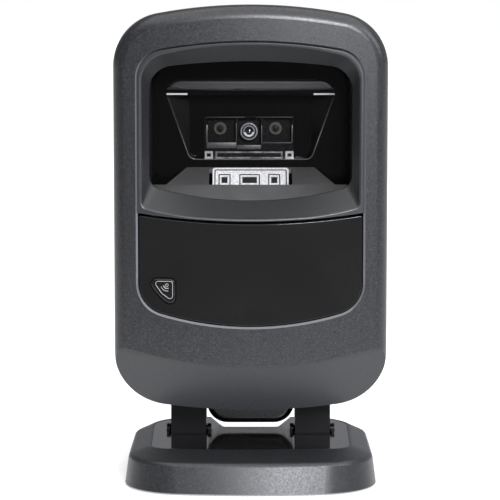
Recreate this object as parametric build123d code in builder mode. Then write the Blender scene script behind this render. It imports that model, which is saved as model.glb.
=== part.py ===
"""Hands-free presentation barcode scanner.

A tall rounded head with a recessed scan window tilts on two short legs over a weighted foot.
Millimetres. +Z is up, the scanner faces -Y, left and right are as seen from the front, and the
origin is the middle of the footprint on the counter.
"""

import os
from math import cos, radians, sin, sqrt

from build123d import *

# ------------------------------------------------------------------ driving dimensions
# Head
head_half_width = 40.8
head_top = 146.0
lip_height = 23.9  # underside of the head
lip_y = -28.0  # where the lower facet ends
crease_height = 38.5  # where the lower facet starts, at the middle
underside_bow = 196.0  # radius of the head's lower edge
crease_bow = 71.0  # radius of the crease above the lower facet
top_bow = 152.0  # radius of the head's upper edge
low_corner = 17.0
high_corner = 16.0
face_y = -38.0  # middle of the bezel's face
crown_radius = 330.0  # the face is bowed about a vertical axis
face_round = 4.0
seam_y = -13.0  # joint between the bezel and the rear housing
back_y = 41.6
wall = 2.2

# Opening in the bezel, and what fills it
opening_half_width = 33.5
opening_low = 50.5
opening_top = 134.9
opening_bevel = 0.6
chin_low = 82.0  # underside of the chin at the middle
chin_rise = 2.5  # how much higher the chin is at its ends
surround_rim = 1.0
panel_gap = 0.25
panel_top = 81.5
panel_y = -37.4
panel_thickness = 2.0

# Scan window and the chamber behind it
window_y = -31.0
window_thickness = 1.4
window_half_width = 30.3
window_low = 87.6
window_top = 129.3
gasket_thickness = 0.8
chamber_wall = 1.5
bulkhead_y = -8.0
sill_y = -24.0
sill_height = 92.0
floor_back_height = 96.2
floor_thickness = 1.4
chamber_back_y = 1.6

# Imaging engine, a little left of the middle
engine_x = -0.45
engine_half_width = 13.9
engine_low = 98.0
engine_top = 111.6
engine_y = 1.2
lens_height = 106.7

# Chassis and boards inside the rear housing
chassis_y = 10.1
chassis_thickness = 1.2
board_y = 14.5
board_thickness = 1.6

# Tone button in the lower left of the panel
button_gap = 0.35
button_travel = 0.6

# Legs and tilt hinge
leg_inner = 14.0
leg_outer = 25.0
leg_half_depth = 6.5
hinge_y = 3.6
hinge_height = 12.4
pin_radius = 1.0
pin_clearance = 0.05
ear_radius = 1.6
ear_thickness = 0.9
washer_thickness = 0.35
ear_gap = 0.65  # leg face to ear

# Foot
deck_height = 11.8
rim_height = 9.4
rim_round = 1.8
feet_height = 0.6
plate_top = 2.4
inlay_thickness = 0.8
cover_wall = 2.0
notch_front = 9.6

os.makedirs("parts", exist_ok=True)
sides = (("left", -1), ("right", 1))
pieces = {}


# ------------------------------------------------------------------ planes and outlines
def face_plane(y):
    """Vertical plane at depth y: its sketch X is +X, its sketch Y is +Z, and it faces the front."""
    return Plane.XZ.offset(-y)


def arc_rise(radius, half_width):
    """How far an arc of this radius rises from its middle to its ends."""
    return radius - sqrt(radius**2 - half_width**2)


def arched_outline(half_width, low, high, low_rise, high_drop, low_radius, high_radius):
    """Outline with straight sides, bowed top and bottom edges and rounded corners.

    low and high are heights at the middle. Before rounding, the bottom corners lie low_rise
    above low, and the top corners high_drop below high.
    """
    with BuildSketch() as outline:
        with BuildLine():
            bottom = ThreePointArc(
                (-half_width, low + low_rise), (0, low), (half_width, low + low_rise)
            )
            side = Line(bottom @ 1, (half_width, high - high_drop))
            top = ThreePointArc(side @ 1, (0, high), (-half_width, high - high_drop))
            Line(top @ 1, bottom @ 0)
        make_face()
        fillet(outline.vertices().group_by(Axis.Y)[0], low_radius)
        fillet(outline.vertices().group_by(Axis.Y)[-1], high_radius)
    return outline.sketch


def head_outline(inset):
    """Front view of the head, drawn in by inset."""
    half_width = head_half_width - inset
    low_rise = arc_rise(underside_bow, half_width)
    high_drop = arc_rise(top_bow, half_width)
    low, high = lip_height + inset, head_top - inset
    corners = (low_corner - inset, high_corner - inset)
    return arched_outline(half_width, low, high, low_rise, high_drop, *corners)


def upper_opening(inset, low_radius):
    """The part of the bezel's opening above the chin."""
    half_width = opening_half_width - inset
    return arched_outline(
        half_width, chin_low + inset, opening_top - inset, chin_rise, 3.8, low_radius, 8.5 - inset
    )


def window_outline(outset):
    """Visible outline of the scan window, drawn out by outset."""
    half_width = window_half_width + outset
    low, high = window_low - outset, window_top + outset
    return arched_outline(half_width, low, high, 4.4, 2.3, 4 + outset, 7.5 + outset)


def panel_outline(inset):
    """The glossy panel below the chin, drawn in by inset from the bezel's opening."""
    half_width = opening_half_width - inset
    low_rise = arc_rise(95, half_width)
    return arched_outline(
        half_width, opening_low + inset, panel_top - inset, low_rise, -chin_rise, 9.5 - inset, 0.7
    )


def button_outline(outset):
    """Leaf shape with an upright right side and a bowed lower left side."""
    with BuildSketch() as outline:
        with BuildLine():
            top = Line((-30.6, 64.9), (-22.4, 64.9))
            right = Line(top @ 1, (-22.4, 56.4))
            ThreePointArc(right @ 1, (-27.4, 59.9), top @ 0)
        make_face()
        fillet(outline.vertices(), 1.6)
        if outset:
            offset(amount=outset)
    return outline.sketch


def crown_cylinder(set_back):
    """Upright cylinder whose front is the head's bowed face, set back from it."""
    radius = crown_radius - set_back
    centre_y = face_y + crown_radius
    with Locations((0, centre_y, 0)):
        Cylinder(radius, 400, mode=Mode.INTERSECT)


def base_outline(front, half_front, half_rear, rear, bow, front_radius, rear_radius, inset):
    """Plan of the foot: a bowed front edge, sides that close in towards the rear."""
    with BuildSketch() as outline:
        with BuildLine():
            edge_y = front + inset + bow
            left_x, right_x = inset - half_front, half_front - inset
            nose = ThreePointArc((left_x, edge_y), (0, front + inset), (right_x, edge_y))
            rear_y, rear_x = rear - inset, half_rear - inset
            Polyline(nose @ 1, (rear_x, rear_y), (-rear_x, rear_y), nose @ 0)
        make_face()
        fillet(outline.vertices().group_by(Axis.Y)[0], front_radius - inset)
        fillet(outline.vertices().group_by(Axis.Y)[-1], rear_radius - inset)
    return outline.sketch


def foot_section(inset):
    return base_outline(-41.6, 38.6, 38.0, 30.2, 5.0, 19, 18, inset)


def rim_section(inset):
    return base_outline(-39.2, 37.4, 37.0, 29.0, 4.2, 17, 17, inset)


def deck_section(inset):
    return base_outline(-29.4, 31.2, 32.0, 27.0, 2.6, 7, 15, inset)


def notch_outline(outset):
    """Cable notch in the rear of the foot."""
    with BuildSketch() as outline:
        with BuildLine():
            front_y = notch_front - outset
            front = Line((-8.8 - outset, front_y), (8.8 + outset, front_y))
            Polyline(front @ 1, (14.2 + outset, 32), (-14.2 - outset, 32), front @ 0)
        make_face()
        fillet(outline.vertices().group_by(Axis.Y)[0], 1.5)
    return outline.sketch


def leg_locations():
    """Middles of the two legs in X, at the hinge axis in Y."""
    middle = (leg_inner + leg_outer) / 2
    return Locations((-middle, hinge_y), (middle, hinge_y))


def pan_screw(radius, length):
    """Cross-head screw along local -Z, with the underside of its head at the origin."""
    head_radius, head_height, slot = 1.9 * radius, 1.3 * radius, 0.45 * radius
    Cylinder(radius, length, align=(Align.CENTER, Align.CENTER, Align.MAX))
    Cylinder(head_radius, head_height, align=(Align.CENTER, Align.CENTER, Align.MIN))
    with Locations((0, 0, head_height)):
        Box(2.2 * radius, slot, head_height, mode=Mode.SUBTRACT)
        Box(slot, 2.2 * radius, head_height, mode=Mode.SUBTRACT)


def rear_facing(x, y, z):
    """A location whose local +Z points backwards, along +Y."""
    return Location((x, y, z), (-90, 0, 0))


# ------------------------------------------------------------------ front bezel
facet_slope = (crease_height - lip_height) / (lip_y - face_y)


def region_below(height, bow):
    """Everything under an upward-bowed arc of radius bow."""
    reach = 60
    with BuildSketch() as region:
        with BuildLine():
            end_height = height + arc_rise(bow, reach)
            arc = ThreePointArc((-reach, end_height), (0, height), (reach, end_height))
            Polyline(arc @ 1, (reach, -reach), (-reach, -reach), arc @ 0)
        make_face()
    return region.sketch


def bezel_block(inset):
    """The bezel's volume from its crowned face to the seam, with the lower facet cut off."""
    with BuildPart() as block:
        with BuildSketch(face_plane(seam_y)):
            add(head_outline(inset))
        extrude(amount=seam_y - face_y + 1)
        crown_cylinder(inset)
        if not inset:
            fillet(block.faces().sort_by(Axis.Y)[0].edges(), face_round)
        for y, bow in ((face_y - 3, crease_bow), (lip_y + 2, underside_bow)):
            height = crease_height - facet_slope * (y - face_y) + inset * sqrt(1 + facet_slope**2)
            with BuildSketch(face_plane(y)):
                add(region_below(height, bow))
        loft(mode=Mode.SUBTRACT)
    return block.part


bezel_outer = bezel_block(0)
bezel_hollow = bezel_block(wall)
screw_x, screw_z = 30.0, 42.5

with BuildPart() as front_bezel:
    add(bezel_outer)
    add(bezel_hollow, mode=Mode.SUBTRACT)
    with BuildSketch(face_plane(face_y + 8)):
        half_width = opening_half_width
        low_rise = arc_rise(95, half_width)
        add(arched_outline(half_width, opening_low, opening_top, low_rise, 3.8, 9.5, 8.5))
    extrude(amount=20, mode=Mode.SUBTRACT)
    face = front_bezel.faces().sort_by(Axis.Y)[0]
    chamfer(face.inner_wires()[0].edges(), opening_bevel)
    for x in (-screw_x, screw_x):
        with Locations(rear_facing(x, seam_y, screw_z)):
            Cylinder(3, 21.5, align=(Align.CENTER, Align.CENTER, Align.MAX))
            Cylinder(1.1, 14, align=(Align.CENTER, Align.CENTER, Align.MAX), mode=Mode.SUBTRACT)
pieces["front_bezel"] = front_bezel

# ------------------------------------------------------------------ window surround
surround_back = window_y + window_thickness

with BuildPart() as window_surround:
    with BuildSketch(face_plane(surround_back)):
        add(upper_opening(0, 0.5))
    extrude(amount=surround_back - face_y + 1)
    crown_cylinder(0)
    with BuildSketch(face_plane(face_y + 1)):
        add(upper_opening(surround_rim, 1.2))
    extrude(amount=5, mode=Mode.SUBTRACT)
    with BuildSketch(face_plane(face_y + 1)):
        add(upper_opening(surround_rim, 1.2))
    with BuildSketch(face_plane(window_y)):
        add(window_outline(0))
    loft(mode=Mode.SUBTRACT)
    with BuildSketch(face_plane(surround_back)):
        add(window_outline(1))
    extrude(amount=window_thickness, mode=Mode.SUBTRACT)
    rim = window_surround.faces().sort_by(Axis.Y)[0]
    fillet(rim.inner_wires()[0].edges(), 0.7)
    rim = window_surround.faces().sort_by(Axis.Y)[0]
    fillet(rim.outer_wire().edges(), 0.2)
pieces["window_surround"] = window_surround

with BuildPart() as scan_window:
    with BuildSketch(face_plane(surround_back)):
        add(window_outline(1))
    extrude(amount=window_thickness)
pieces["scan_window"] = scan_window

gasket_back = surround_back + gasket_thickness
with BuildPart() as window_gasket:
    with BuildSketch(face_plane(gasket_back)):
        add(window_outline(1))
    extrude(amount=gasket_thickness)
    with BuildSketch(face_plane(gasket_back)):
        add(window_outline(0))
    extrude(amount=gasket_thickness, mode=Mode.SUBTRACT)
pieces["window_gasket"] = window_gasket

# ------------------------------------------------------------------ gloss panel and tone button
with BuildPart() as gloss_panel:
    with BuildSketch(face_plane(panel_y + panel_thickness)):
        add(panel_outline(panel_gap))
    extrude(amount=panel_thickness + 2)
    crown_cylinder(panel_y - face_y)
    fillet(gloss_panel.faces().sort_by(Axis.Y)[0].edges(), 0.3)
    with BuildSketch(face_plane(panel_y + panel_thickness)):
        add(button_outline(button_gap))
    extrude(amount=10, mode=Mode.SUBTRACT)
    # Snap rails behind the panel that grip the bezel's edge
    rail_y = face_y + arc_rise(crown_radius, opening_half_width) + wall + 0.4
    for sign in (-1, 1):
        with Locations((sign * 31.6, (rail_y + panel_y + panel_thickness) / 2, 72)):
            Box(1.6, rail_y - panel_y - panel_thickness, 12)
pieces["gloss_panel"] = gloss_panel

panel_back = panel_y + panel_thickness
button_back = panel_back + 1.3
with BuildPart() as tone_button:
    with BuildSketch(face_plane(panel_back + button_gap)):
        add(button_outline(0))
    extrude(amount=panel_thickness + button_gap + 2)
    crown_cylinder(panel_y - face_y - 0.35)
    front = tone_button.faces().sort_by(Axis.Y)[0]
    fillet(front.edges(), 0.4)
    with BuildSketch(face_plane(button_back)):
        add(button_outline(0.9))
    extrude(amount=button_back - panel_back - button_gap)
pieces["tone_button"] = tone_button

button_x, button_z = -25.3, 61.6
dome_front = button_back + button_travel + 0.3
with BuildPart() as button_dome:
    with Locations(rear_facing(button_x, dome_front, button_z)):
        Cone(1.4, 2.6, 0.9, align=(Align.CENTER, Align.CENTER, Align.MIN))
pieces["button_dome"] = button_dome

with BuildPart() as button_board:
    with BuildSketch(face_plane(dome_front + 2.1)):
        with Locations((button_x + 1, button_z)):
            RectangleRounded(15, 14, 1)
    extrude(amount=1.2)
pieces["button_board"] = button_board

# ------------------------------------------------------------------ optical chamber
floor_front_half, floor_back_half = 25.5, 19.6
well_half_width = 12.7
chamber_half_width = window_half_width + 0.1
chamber_low, chamber_top = 86.0, 129.9


def tunnel_mouth(bottom_half, top_half, low, high):
    """Opening that widens upwards, with rounded lower corners."""
    with BuildSketch() as mouth:
        with BuildLine():
            floor = Line((-bottom_half, low), (bottom_half, low))
            Polyline(floor @ 1, (top_half, high), (-top_half, high), floor @ 0)
        make_face()
        fillet(mouth.vertices().group_by(Axis.Y)[0], 2.6)
    return mouth.sketch


with BuildPart() as optical_chamber:
    with BuildSketch(face_plane(chamber_back_y)):
        with Locations((0, (chamber_low + chamber_top) / 2)):
            width = 2 * (chamber_half_width + chamber_wall)
            RectangleRounded(width, chamber_top - chamber_low + 2 * chamber_wall, 5)
    extrude(amount=chamber_back_y - gasket_back)
    with BuildSketch(face_plane(bulkhead_y)):
        with Locations((0, (chamber_low + chamber_top) / 2)):
            RectangleRounded(2 * chamber_half_width, chamber_top - chamber_low, 3.5)
    extrude(amount=bulkhead_y - gasket_back, mode=Mode.SUBTRACT)
    with BuildSketch(face_plane(bulkhead_y)):
        add(tunnel_mouth(18.7, 26, 98.6, 118.5))
    with BuildSketch(face_plane(engine_y - 0.8)):
        add(tunnel_mouth(18.9, 19.1, 97.9, 118.3))
    loft(mode=Mode.SUBTRACT)
    with BuildSketch(face_plane(chamber_back_y)):
        with Locations((engine_x, (engine_low + engine_top) / 2)):
            Rectangle(2 * engine_half_width, engine_top - engine_low)
    extrude(amount=4, mode=Mode.SUBTRACT)
    # Hollow the solid block around the tunnel from behind
    with BuildSketch(face_plane(chamber_back_y)):
        with Locations((0, 91.2)):
            Rectangle(46, 8)
        with Locations((0, 124.6)):
            Rectangle(46, 7)
    extrude(amount=chamber_back_y - bulkhead_y - chamber_wall, mode=Mode.SUBTRACT)
pieces["optical_chamber"] = optical_chamber

with BuildPart() as window_sill:
    sill_half_width, sill_foot = 29.4, 26.5
    with BuildSketch(face_plane(gasket_back)):
        with BuildLine():
            end_height = window_low + arc_rise(105, sill_half_width)
            arc = ThreePointArc(
                (-sill_half_width, end_height), (0, window_low), (sill_half_width, end_height)
            )
            Polyline(arc @ 1, (sill_foot, chamber_low), (-sill_foot, chamber_low), arc @ 0)
        make_face()
    with BuildSketch(face_plane(sill_y)):
        with BuildLine():
            Polyline(
                (-sill_half_width, sill_height),
                (sill_half_width, sill_height),
                (sill_foot, chamber_low),
                (-sill_foot, chamber_low),
                close=True,
            )
        make_face()
    loft(ruled=True)
pieces["window_sill"] = window_sill

with BuildPart() as chamber_floor:
    front_end = (sill_y, floor_front_half, sill_height)
    back_end = (bulkhead_y, floor_back_half, floor_back_height)
    for y, half, top in (front_end, back_end):
        with BuildSketch(face_plane(y)):
            with Locations((0, top - floor_thickness / 2)):
                Rectangle(2 * half, floor_thickness)
    loft(ruled=True)
    with Locations((0, (sill_y + bulkhead_y - 1.4) / 2, sill_height)):
        Box(2 * well_half_width, bulkhead_y - 1.4 - sill_y, 20, mode=Mode.SUBTRACT)
pieces["chamber_floor"] = chamber_floor

with BuildPart() as baffle_bar:
    with BuildSketch(face_plane(bulkhead_y)):
        with BuildLine():
            bottom = ThreePointArc((-25.9, 120.2), (0, 119.7), (25.9, 120.2))
            right = ThreePointArc(bottom @ 1, (24.2, 122.3), (20.6, 123.2))
            top = Line(right @ 1, (-20.6, 123.2))
            ThreePointArc(top @ 1, (-24.2, 122.3), bottom @ 0)
        make_face()
    extrude(amount=2.2)
    fillet(baffle_bar.faces().sort_by(Axis.Y)[0].edges(), 0.9)
pieces["baffle_bar"] = baffle_bar

with BuildPart() as seal_strips:
    with BuildSketch(face_plane(bulkhead_y)):
        with Locations((-22.6, 118.75), (22.6, 118.75)):
            Rectangle(6.4, 0.5)
    extrude(amount=1)
pieces["seal_strips"] = seal_strips

# ------------------------------------------------------------------ illumination unit in its well
illumination_tilt = 27.0
illumination_plane = Plane(
    origin=(0, -11.86, 92.49),
    x_dir=(1, 0, 0),
    z_dir=(0, -cos(radians(illumination_tilt)), sin(radians(illumination_tilt))),
)
frame_width, frame_height, frame_thickness = 23.3, 7.2, 1.2
lip_width, groove_width, groove_depth = 0.55, 0.35, 0.3
groove_reach = lip_width + groove_width
# Middle, width and height of each lamp window
window_places = ((-8.0, -0.45, 1.9, 2.1), (-0.3, -0.45, 4.5, 2.1), (7.25, -0.45, 1.9, 2.1))

with BuildPart() as illumination_frame:
    with BuildSketch(illumination_plane):
        RectangleRounded(frame_width, frame_height, 0.8)
        for x, z, width, height in window_places:
            with Locations((x, z)):
                Rectangle(width, height, mode=Mode.SUBTRACT)
    extrude(amount=frame_thickness)
    # Fine grooves round the edge and round each window
    with BuildSketch(illumination_plane.offset(frame_thickness - groove_depth)):
        RectangleRounded(frame_width - 2 * lip_width, frame_height - 2 * lip_width, 0.5)
        plate_width = frame_width - 2 * groove_reach
        plate_height = frame_height - 2 * groove_reach
        RectangleRounded(plate_width, plate_height, 0.3, mode=Mode.SUBTRACT)
        for x, z, width, height in window_places:
            with Locations((x, z)):
                Rectangle(width + 2 * groove_reach, height + 2 * groove_reach)
                Rectangle(width + 2 * lip_width, height + 2 * lip_width, mode=Mode.SUBTRACT)
    extrude(amount=groove_depth, mode=Mode.SUBTRACT)
pieces["illumination_frame"] = illumination_frame

with BuildPart() as illumination_board:
    with BuildSketch(illumination_plane):
        Rectangle(22.5, 6)
    extrude(amount=-1)
pieces["illumination_board"] = illumination_board

with BuildPart() as illumination_leds:
    with BuildSketch(illumination_plane):
        for x, z, width, height in window_places:
            with Locations((x, z)):
                Rectangle(width - 0.3, height - 0.3)
    extrude(amount=0.6)
pieces["illumination_leds"] = illumination_leds

# ------------------------------------------------------------------ imaging engine
engine_plate = 1.4
engine_back = engine_y + engine_plate
body_front = 4.4
imager_board_y = 8.9

with BuildPart() as engine_bracket:
    with BuildSketch(face_plane(engine_back)):
        with Locations((engine_x, (engine_low + engine_top) / 2)):
            Rectangle(2 * engine_half_width, engine_top - engine_low)
        for x, width, low in ((-9.2, 9.1, 103.4), (-0.4, 7.2, 102.6), (8.4, 9.1, 103.4)):
            high = engine_top - 0.6
            with Locations((x, (low + high) / 2)):
                Rectangle(width, high - low, mode=Mode.SUBTRACT)
    extrude(amount=engine_plate)
    # Side cheeks that reach back to the imager board
    for sign in (-1, 1):
        cheek_x = engine_x + sign * (engine_half_width - 0.3)
        with Locations((cheek_x, (engine_back + imager_board_y) / 2, 105)):
            Box(0.6, imager_board_y - engine_back, 9)
pieces["engine_bracket"] = engine_bracket

with BuildPart() as engine_body:
    with Locations((engine_x, (body_front + imager_board_y) / 2, 105)):
        Box(2 * engine_half_width - 1.6, imager_board_y - body_front, 12)
    fillet(engine_body.edges().filter_by(Axis.Y), 0.8)
pieces["engine_body"] = engine_body

with BuildPart() as lens_barrel:
    with Locations(rear_facing(-0.5, 1.9, lens_height)):
        Cylinder(2.85, body_front - 1.9, align=(Align.CENTER, Align.CENTER, Align.MIN))
        Cone(2.3, 1.8, 1.2, align=(Align.CENTER, Align.CENTER, Align.MIN), mode=Mode.SUBTRACT)
    fillet(lens_barrel.faces().sort_by(Axis.Y)[0].edges().sort_by(SortBy.RADIUS)[-1], 0.3)
pieces["lens_barrel"] = lens_barrel

with BuildPart() as lens_glass:
    with Locations(rear_facing(-0.5, 3.1, lens_height)):
        Sphere(1.75, arc_size1=-90, arc_size2=0)
    split(bisect_by=face_plane(3.1), keep=Keep.TOP)
pieces["lens_glass"] = lens_glass

for name, x in (("aiming_lens_left", -9.5), ("aiming_lens_right", 7.8)):
    with BuildPart() as aiming_lens:
        with Locations(rear_facing(x, body_front, lens_height + 0.9)):
            Cylinder(1.95, 0.7, align=(Align.CENTER, Align.CENTER, Align.MAX))
        with Locations((x, body_front - 0.7, lens_height + 0.9)):
            Sphere(1.2)
        split(bisect_by=face_plane(body_front), keep=Keep.TOP)
    pieces[name] = aiming_lens

with BuildPart() as engine_clips:
    for sign in (-1, 1):
        with BuildSketch(face_plane(engine_y)):
            with Locations((engine_x + sign * 12.6, 99.4)):
                Rectangle(2.5, 2.4)
                Rectangle(1.3, 1.0, mode=Mode.SUBTRACT)
    extrude(amount=0.6)
pieces["engine_clips"] = engine_clips

with BuildPart() as engine_connector:
    with BuildSketch(face_plane(engine_y)):
        with Locations((engine_x, 99.4)):
            Rectangle(21, 2.2)
    extrude(amount=0.5)
    with BuildSketch(face_plane(engine_y)):
        with Locations((engine_x, 99.4)):
            Rectangle(20, 1.3)
    extrude(amount=0.5, mode=Mode.SUBTRACT)
pieces["engine_connector"] = engine_connector

with BuildPart() as imager_board:
    with Locations((engine_x, (imager_board_y + chassis_y) / 2, 105)):
        Box(31, chassis_y - imager_board_y, 18)
pieces["imager_board"] = imager_board

# ------------------------------------------------------------------ rear housing
# Depth, half width, bottom, top and corner radius of the sections of the domed back
back_sections = (
    (seam_y, head_half_width, lip_height, head_top, low_corner, high_corner),
    (6.0, 39.5, 26.2, 143.0, 18, 18),
    (26.0, 33.2, 36.5, 131.0, 19, 19),
    (back_y, 20.5, 54.0, 110.0, 14, 14),
)


def domed_back(inset):
    """The domed volume behind the seam, drawn in by inset."""
    with BuildPart() as dome:
        for y, half_width, low, high, low_radius, high_radius in back_sections:
            depth = min(y, back_y - inset)
            with BuildSketch(face_plane(depth)):
                half_width = half_width - inset
                low_rise = arc_rise(underside_bow, half_width)
                high_drop = arc_rise(top_bow, half_width)
                low, high = low + inset, high - inset
                radii = (low_radius - inset, high_radius - inset)
                add(arched_outline(half_width, low, high, low_rise, high_drop, *radii))
        loft()
        if not inset:
            fillet(dome.faces().sort_by(Axis.Y)[-1].edges(), 3.5)
    return dome.part


back_outer = domed_back(0)
back_hollow = domed_back(wall)
neck_half_width, neck_front, neck_low = 13.85, 6.0, 13.5
chassis_posts = [(x, z) for x in (-27, 27) for z in (60, 110)]

with BuildPart() as neck_block:
    with BuildSketch(Plane.YZ):
        with BuildLine():
            Polyline(
                (neck_front, neck_low),
                (24, neck_low),
                (28, 32),
                (31, 50),
                (neck_front, 50),
                close=True,
            )
        make_face()
    extrude(amount=neck_half_width, both=True)
    fillet(neck_block.edges().filter_by(Axis.Y).group_by(Axis.Z)[0], 6.5)
    fillet(neck_block.faces().sort_by(Axis.Y)[0].edges().group_by(Axis.Z)[0], 2)

with BuildPart() as post_block:
    for x, z in chassis_posts:
        with Locations(rear_facing(x, chassis_y + chassis_thickness, z)):
            Cylinder(3, 40, align=(Align.CENTER, Align.CENTER, Align.MIN))
    for x in (-screw_x, screw_x):
        with Locations(rear_facing(x, seam_y, screw_z)):
            Cylinder(4, 60, align=(Align.CENTER, Align.CENTER, Align.MIN))
    add(back_outer, mode=Mode.INTERSECT)

with BuildPart() as rear_housing:
    add(back_outer)
    add(neck_block.part)
    add(back_hollow, mode=Mode.SUBTRACT)
    add(post_block.part)
    for x, z in chassis_posts:
        with Locations(rear_facing(x, chassis_y + chassis_thickness, z)):
            Cylinder(1, 6, align=(Align.CENTER, Align.CENTER, Align.MIN), mode=Mode.SUBTRACT)
    for x in (-screw_x, screw_x):
        with Locations(rear_facing(x, seam_y, screw_z)):
            Cylinder(1.3, 20, align=(Align.CENTER, Align.CENTER, Align.MIN), mode=Mode.SUBTRACT)
        with Locations(rear_facing(x, seam_y + 9, screw_z)):
            Cylinder(2.8, 60, align=(Align.CENTER, Align.CENTER, Align.MIN), mode=Mode.SUBTRACT)
    # Sockets for the legs
    with BuildSketch(Plane.XY.offset(lip_height - 4)):
        with leg_locations():
            Rectangle(leg_outer - leg_inner, 2 * leg_half_depth)
    extrude(amount=20, mode=Mode.SUBTRACT)
    # Cable jack bay, open at the rear, and the shaft up to the boards
    with Locations((0, 26.5, 22.3)):
        Box(16, 30, 10.4, mode=Mode.SUBTRACT)
    with Locations((0, 15, 38)):
        Box(10, 6, 30, mode=Mode.SUBTRACT)
    # Sound slots for the beeper
    with BuildSketch(face_plane(back_y - 6)):
        with GridLocations(3, 0, 5, 1):
            with Locations((0, 66)):
                SlotOverall(9, 1.4, rotation=90)
    extrude(amount=-12, mode=Mode.SUBTRACT)
    # Shallow label bed
    with BuildSketch(face_plane(back_y - 0.5)):
        with Locations((0, 90)):
            RectangleRounded(28, 17, 1.5)
    extrude(amount=-4, mode=Mode.SUBTRACT)
pieces["rear_housing"] = rear_housing

with BuildPart() as housing_screws:
    for x in (-screw_x, screw_x):
        with Locations(rear_facing(x, seam_y + 9, screw_z)):
            pan_screw(1.1, 21)
pieces["housing_screws"] = housing_screws

# ------------------------------------------------------------------ cable jack
with BuildPart() as jack_housing:
    with Locations((0, 18.9, 21.8)):
        Box(15.4, 13.6, 9)
    with Locations((0, 21.2, 22.0)):
        Box(12, 11, 6.6, mode=Mode.SUBTRACT)
    with Locations((0, 24, 18.2)):
        Box(5, 6, 2, mode=Mode.SUBTRACT)
pieces["jack_housing"] = jack_housing

with BuildPart() as jack_contacts:
    with Locations((0, 18.6, 25.1)):
        with GridLocations(1.02, 0, 10, 1):
            Box(0.4, 4, 0.3)
pieces["jack_contacts"] = jack_contacts

# ------------------------------------------------------------------ chassis and boards
chassis_low, chassis_high = 50.0, 118.0
leg_top = 62.0
leg_screw_heights = (53.5, 59.5)

with BuildPart() as chassis:
    with BuildSketch(face_plane(chassis_y + chassis_thickness)):
        with Locations((0, (chassis_low + chassis_high) / 2)):
            RectangleRounded(64, chassis_high - chassis_low, 4)
        for x, z in chassis_posts:
            with Locations((x, z)):
                Circle(1.1, mode=Mode.SUBTRACT)
        for sign in (-1, 1):
            for z in leg_screw_heights:
                with Locations((sign * (leg_inner + leg_outer) / 2, z)):
                    Circle(1.25, mode=Mode.SUBTRACT)
        with Locations((0, 92)):
            Rectangle(13, 4, mode=Mode.SUBTRACT)
    extrude(amount=chassis_thickness)
pieces["chassis"] = chassis

with BuildPart() as chassis_screws:
    for x, z in chassis_posts:
        with Locations(Location((x, chassis_y, z), (90, 0, 0))):
            pan_screw(1, 6)
pieces["chassis_screws"] = chassis_screws

standoffs = [(x, z) for x in (-18, 18) for z in (66, 108)]
with BuildPart() as board_standoffs:
    for x, z in standoffs:
        with Locations(rear_facing(x, chassis_y + chassis_thickness, z)):
            height = board_y - chassis_y - chassis_thickness
            Cylinder(2, height, align=(Align.CENTER, Align.CENTER, Align.MIN))
pieces["board_standoffs"] = board_standoffs

with BuildPart() as main_board:
    with BuildSketch(face_plane(board_y + board_thickness)):
        with Locations((0, 87)):
            RectangleRounded(46, 50, 1.5)
        for x, z in standoffs:
            with Locations((x, z)):
                Circle(1, mode=Mode.SUBTRACT)
    extrude(amount=board_thickness)
pieces["main_board"] = main_board

board_back = board_y + board_thickness
with BuildPart() as board_screws:
    for x, z in standoffs:
        with Locations(rear_facing(x, board_back, z)):
            pan_screw(1, board_thickness)
pieces["board_screws"] = board_screws

with BuildPart() as decoder_shield:
    with Locations((-4, board_back + 1.3, 92)):
        Box(20, 2.6, 20)
    fillet(decoder_shield.faces().sort_by(Axis.Y)[-1].edges(), 0.5)
pieces["decoder_shield"] = decoder_shield

with BuildPart() as beeper:
    with Locations(rear_facing(0, board_back, 70)):
        Cylinder(6, 6, align=(Align.CENTER, Align.CENTER, Align.MIN))
        Cylinder(1, 7, align=(Align.CENTER, Align.CENTER, Align.MIN), mode=Mode.SUBTRACT)
    fillet(beeper.faces().sort_by(Axis.Y)[-1].edges().sort_by(SortBy.RADIUS)[-1], 0.6)
pieces["beeper"] = beeper

with BuildPart() as flex_cable:
    with BuildSketch(Plane.YZ):
        with BuildLine():
            strip_half = 0.15
            ends = (9.5, 96 - strip_half), (board_y - strip_half, 92)
            path = FilletPolyline(ends[0], (9.5, 92), ends[1], radius=1.2)
            offset(path, amount=strip_half, side=Side.BOTH)
        make_face()
    extrude(amount=5, both=True)
pieces["flex_cable"] = flex_cable

# ------------------------------------------------------------------ legs
for side, sign in sides:
    with BuildPart() as leg:
        with BuildSketch(Plane.YZ.offset(sign * (leg_inner + leg_outer) / 2)):
            with Locations((hinge_y, (hinge_height + leg_top) / 2)):
                Rectangle(2 * leg_half_depth, leg_top - hinge_height)
            with Locations((hinge_y, hinge_height)):
                Circle(leg_half_depth)
                Circle(pin_radius + pin_clearance, mode=Mode.SUBTRACT)
        extrude(amount=(leg_outer - leg_inner) / 2, both=True)
        for z in leg_screw_heights:
            with Locations(rear_facing(sign * (leg_inner + leg_outer) / 2, chassis_y, z)):
                Cylinder(
                    1.2, 8, align=(Align.CENTER, Align.CENTER, Align.MAX), mode=Mode.SUBTRACT
                )
    pieces[f"leg_{side}"] = leg

with BuildPart() as leg_screws:
    for _, sign in sides:
        for z in leg_screw_heights:
            screw_y = chassis_y + chassis_thickness
            with Locations(rear_facing(sign * (leg_inner + leg_outer) / 2, screw_y, z)):
                pan_screw(1.2, 8)
pieces["leg_screws"] = leg_screws

# ------------------------------------------------------------------ tilt hinge
ear_faces = (leg_inner - ear_gap, leg_outer + ear_gap)
bracket_low, bracket_floor = plate_top, plate_top + 1.2

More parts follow.
